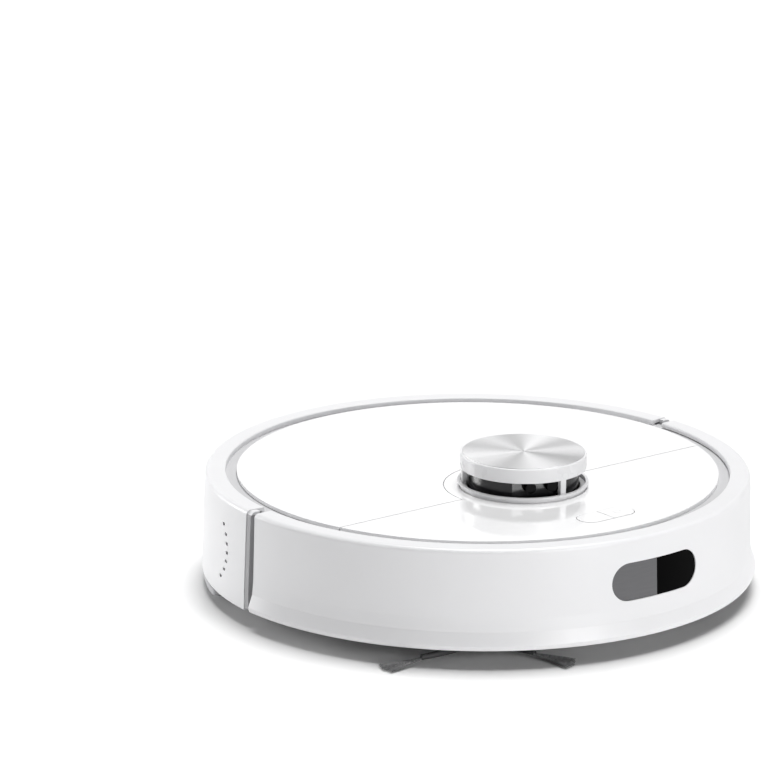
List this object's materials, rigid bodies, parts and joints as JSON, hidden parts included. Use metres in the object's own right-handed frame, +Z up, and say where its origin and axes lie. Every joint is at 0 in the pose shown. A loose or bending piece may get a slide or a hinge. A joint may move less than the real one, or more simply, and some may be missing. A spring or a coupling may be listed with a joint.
{
  "type": "robot vacuum cleaner",
  "caption": "Round robot vacuum with a spinning lidar turret, sprung bumper, hinged dust-tub lid, drive wheels, caster, brushes and a mop pad",
  "frame": {"origin": "on the floor, under the centre of the round body", "axes": "+Y forward through the sensor window, +X to the robot's right, +Z up"},
  "size_m": [0.3548, 0.3519, 0.0955],
  "materials": {
    "shell_white": "fine satin",
    "deck_white": "clear gloss",
    "frame_grey": "satin",
    "strip_grey": "satin",
    "pan_grey": "fine grained",
    "bracket_grey": "fine grained",
    "turret_white": "satin",
    "disc_metal": "spun",
    "window_black": "gloss",
    "window_grey": "gloss",
    "drum_black": "satin",
    "lens_glass": "polished",
    "tyre_rubber": "ribbed",
    "rim_grey": "satin",
    "gear_black": "fine grained",
    "pin_steel": "ground",
    "contact_metal": "plated",
    "brush_core_grey": "satin",
    "brush_rubber": "soft",
    "side_rubber": "soft",
    "bristle_grey": "nylon",
    "tub_smoke": "clear tinted",
    "tub_cover_grey": "satin",
    "filter_paper": "pleated",
    "battery_wrap": "wrapped",
    "board_green": "lacquered",
    "mop_cloth": "woven",
    "caster_white": "satin"
  },
  "bodies": {
    "housing": {"chassis_pan": "pan_grey", "mid_frame": "frame_grey", "rear_shell": "shell_white", "front_cover": "deck_white", "turret_base": "turret_white", "charge_contact_right": "contact_metal", "charge_contact_left": "contact_metal", "dock_window": "window_black", "exhaust_grille": "frame_grey", "seam_strip_right": "strip_grey", "seam_strip_left": "strip_grey", "cliff_lens_1": "window_black", "cliff_lens_2": "window_black", "cliff_lens_3": "window_black", "cliff_lens_4": "window_black", "lidar_motor": "pin_steel", "speaker": "gear_black", "main_board": "board_green", "battery": "battery_wrap", "battery_door": "pan_grey", "dust_tub": "tub_smoke", "tub_cover": "tub_cover_grey", "dust_filter": "filter_paper", "fan_housing": "gear_black", "brush_motor": "gear_black", "brush_guard": "bracket_grey", "pivot_pin_right": "pin_steel", "pivot_pin_left": "pin_steel", "caster_socket": "gear_black", "side_gearbox": "gear_black", "hinge_pin_right": "pin_steel", "hinge_pin_left": "pin_steel"},
    "bumper": {"bumper_shell": "shell_white", "window_pane_right": "window_grey", "window_pane_left": "window_black"},
    "lid": {"rear_lid": "deck_white", "lid_arm_right": "frame_grey", "lid_arm_left": "frame_grey"},
    "turret": {"turret_cap": "turret_white", "turret_disc": "disc_metal"},
    "lidar_head": {"lidar_drum": "drum_black", "lidar_lenses": "lens_glass"},
    "button_right": {"button_right": "deck_white"},
    "button_left": {"button_left": "deck_white"},
    "arm_right": {"drive_arm_right": "gear_black"},
    "arm_left": {"drive_arm_left": "gear_black"},
    "wheel_right": {"tyre_right": "tyre_rubber", "rim_right": "rim_grey"},
    "wheel_left": {"tyre_left": "tyre_rubber", "rim_left": "rim_grey"},
    "caster": {"caster_fork": "caster_white", "caster_axle": "pin_steel"},
    "caster_roller": {"caster_wheel": "caster_white"},
    "side_brush": {"side_brush_hub": "side_rubber", "side_tufts": "bristle_grey"},
    "main_brush": {"brush_core": "brush_core_grey", "brush_fins": "brush_rubber"},
    "fan": {"impeller": "rim_grey"},
    "mop": {"mop_bracket": "bracket_grey", "mop_pad": "mop_cloth"}
  },
  "joints": [
    {"name": "bumper_press", "type": "slide", "parent": "housing", "child": "bumper", "axis": [0, -1, 0], "range_m": [0, 0.004], "stiffness_N_per_m": 800, "springref_m": -0.002},
    {"name": "lid_hinge", "type": "hinge", "parent": "housing", "child": "lid", "pos_m": [0, 0.052, 0.068], "axis": [-1, 0, 0], "range_deg": [0, 75]},
    {"name": "turret_press", "type": "slide", "parent": "housing", "child": "turret", "axis": [0, 0, -1], "range_m": [0, 0.001], "stiffness_N_per_m": 1500, "springref_m": -0.0007},
    {"name": "lidar_spin", "type": "hinge", "parent": "housing", "child": "lidar_head", "pos_m": [0, 0.045, 0.07], "axis": [0, 0, 1], "continuous": true},
    {"name": "button_right_press", "type": "slide", "parent": "housing", "child": "button_right", "axis": [0, 0, -1], "range_m": [0, 0.0006], "stiffness_N_per_m": 1200, "springref_m": -0.0004},
    {"name": "button_left_press", "type": "slide", "parent": "housing", "child": "button_left", "axis": [0, 0, -1], "range_m": [0, 0.0006], "stiffness_N_per_m": 1200, "springref_m": -0.0004},
    {"name": "suspension_right", "type": "hinge", "parent": "housing", "child": "arm_right", "pos_m": [0.08875, 0.036, 0.034], "axis": [1, 0, 0], "range_deg": [0, 25], "stiffness_Nm_per_rad": 0.5, "springref_deg": 24.98},
    {"name": "drive_wheel_right", "type": "hinge", "parent": "arm_right", "child": "wheel_right", "pos_m": [0.115, -0.008, 0.03], "axis": [1, 0, 0], "continuous": true},
    {"name": "suspension_left", "type": "hinge", "parent": "housing", "child": "arm_left", "pos_m": [-0.08875, 0.036, 0.034], "axis": [1, 0, 0], "range_deg": [0, 25], "stiffness_Nm_per_rad": 0.5, "springref_deg": 24.98},
    {"name": "drive_wheel_left", "type": "hinge", "parent": "arm_left", "child": "wheel_left", "pos_m": [-0.115, -0.008, 0.03], "axis": [1, 0, 0], "continuous": true},
    {"name": "caster_swivel", "type": "hinge", "parent": "housing", "child": "caster", "pos_m": [0, 0.118, 0.031], "axis": [0, 0, 1], "continuous": true},
    {"name": "caster_roll", "type": "hinge", "parent": "caster", "child": "caster_roller", "pos_m": [0, 0.112, 0.014], "axis": [1, 0, 0], "continuous": true},
    {"name": "side_brush_spin", "type": "hinge", "parent": "housing", "child": "side_brush", "pos_m": [0.09095, 0.10801, 0.006], "axis": [0, 0, 1], "continuous": true},
    {"name": "main_brush_spin", "type": "hinge", "parent": "housing", "child": "main_brush", "pos_m": [0, -0.046, 0.02], "axis": [1, 0, 0], "continuous": true},
    {"name": "fan_spin", "type": "hinge", "parent": "housing", "child": "fan", "pos_m": [-0.04, -0.028, 0.05], "axis": [0, 0, 1], "continuous": true},
    {"name": "mop_release", "type": "slide", "parent": "housing", "child": "mop", "axis": [0, -1, 0], "range_m": [0, 0.06]}
  ]
}
